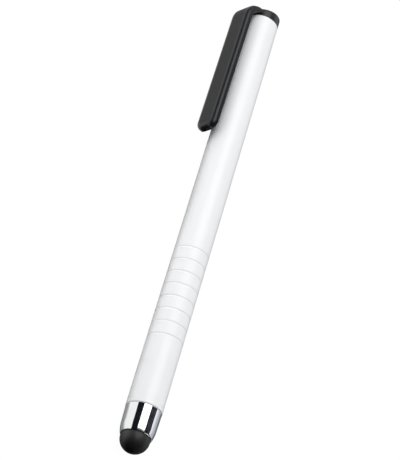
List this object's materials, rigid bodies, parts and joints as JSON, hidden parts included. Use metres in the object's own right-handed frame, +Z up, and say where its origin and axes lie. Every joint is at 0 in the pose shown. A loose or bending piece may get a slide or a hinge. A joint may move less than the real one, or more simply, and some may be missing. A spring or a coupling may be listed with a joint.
{
  "type": "stylus pen",
  "caption": "Slim touch-screen stylus pen with a soft domed rubber tip, plated nose ring, grooved white tube barrel and a black end cap with a sprung pocket clip.",
  "frame": {"origin": "on the table under the middle of the lying pen's bounding box", "axes": "+X along the pen towards the rubber tip, +Z up from the table; the clip lies on the -Y side"},
  "size_m": [0.134, 0.0134, 0.009],
  "materials": {
    "white_lacquer": "gloss",
    "chrome": "polished",
    "tip_rubber": "matte",
    "post_brass": "satin",
    "cap_plastic": "gloss",
    "clip_plastic": "satin"
  },
  "bodies": {
    "pen_body": {"barrel": "white_lacquer", "nose_ring": "chrome", "tip_post": "post_brass", "end_cap": "cap_plastic"},
    "soft_tip": {"rubber_tip": "tip_rubber"},
    "pocket_clip": {"clip": "clip_plastic"}
  },
  "joints": [
    {"name": "tip_press", "type": "slide", "parent": "pen_body", "child": "soft_tip", "axis": [-1, 0, 0], "range_m": [0, 0.0008], "stiffness_N_per_m": 600},
    {"name": "clip_flex", "type": "hinge", "parent": "pen_body", "child": "pocket_clip", "pos_m": [-0.06417, -0.00036, 0.00405], "axis": [0, 0.1738, -0.9848], "range_deg": [0, 5], "stiffness_Nm_per_rad": 2}
  ]
}
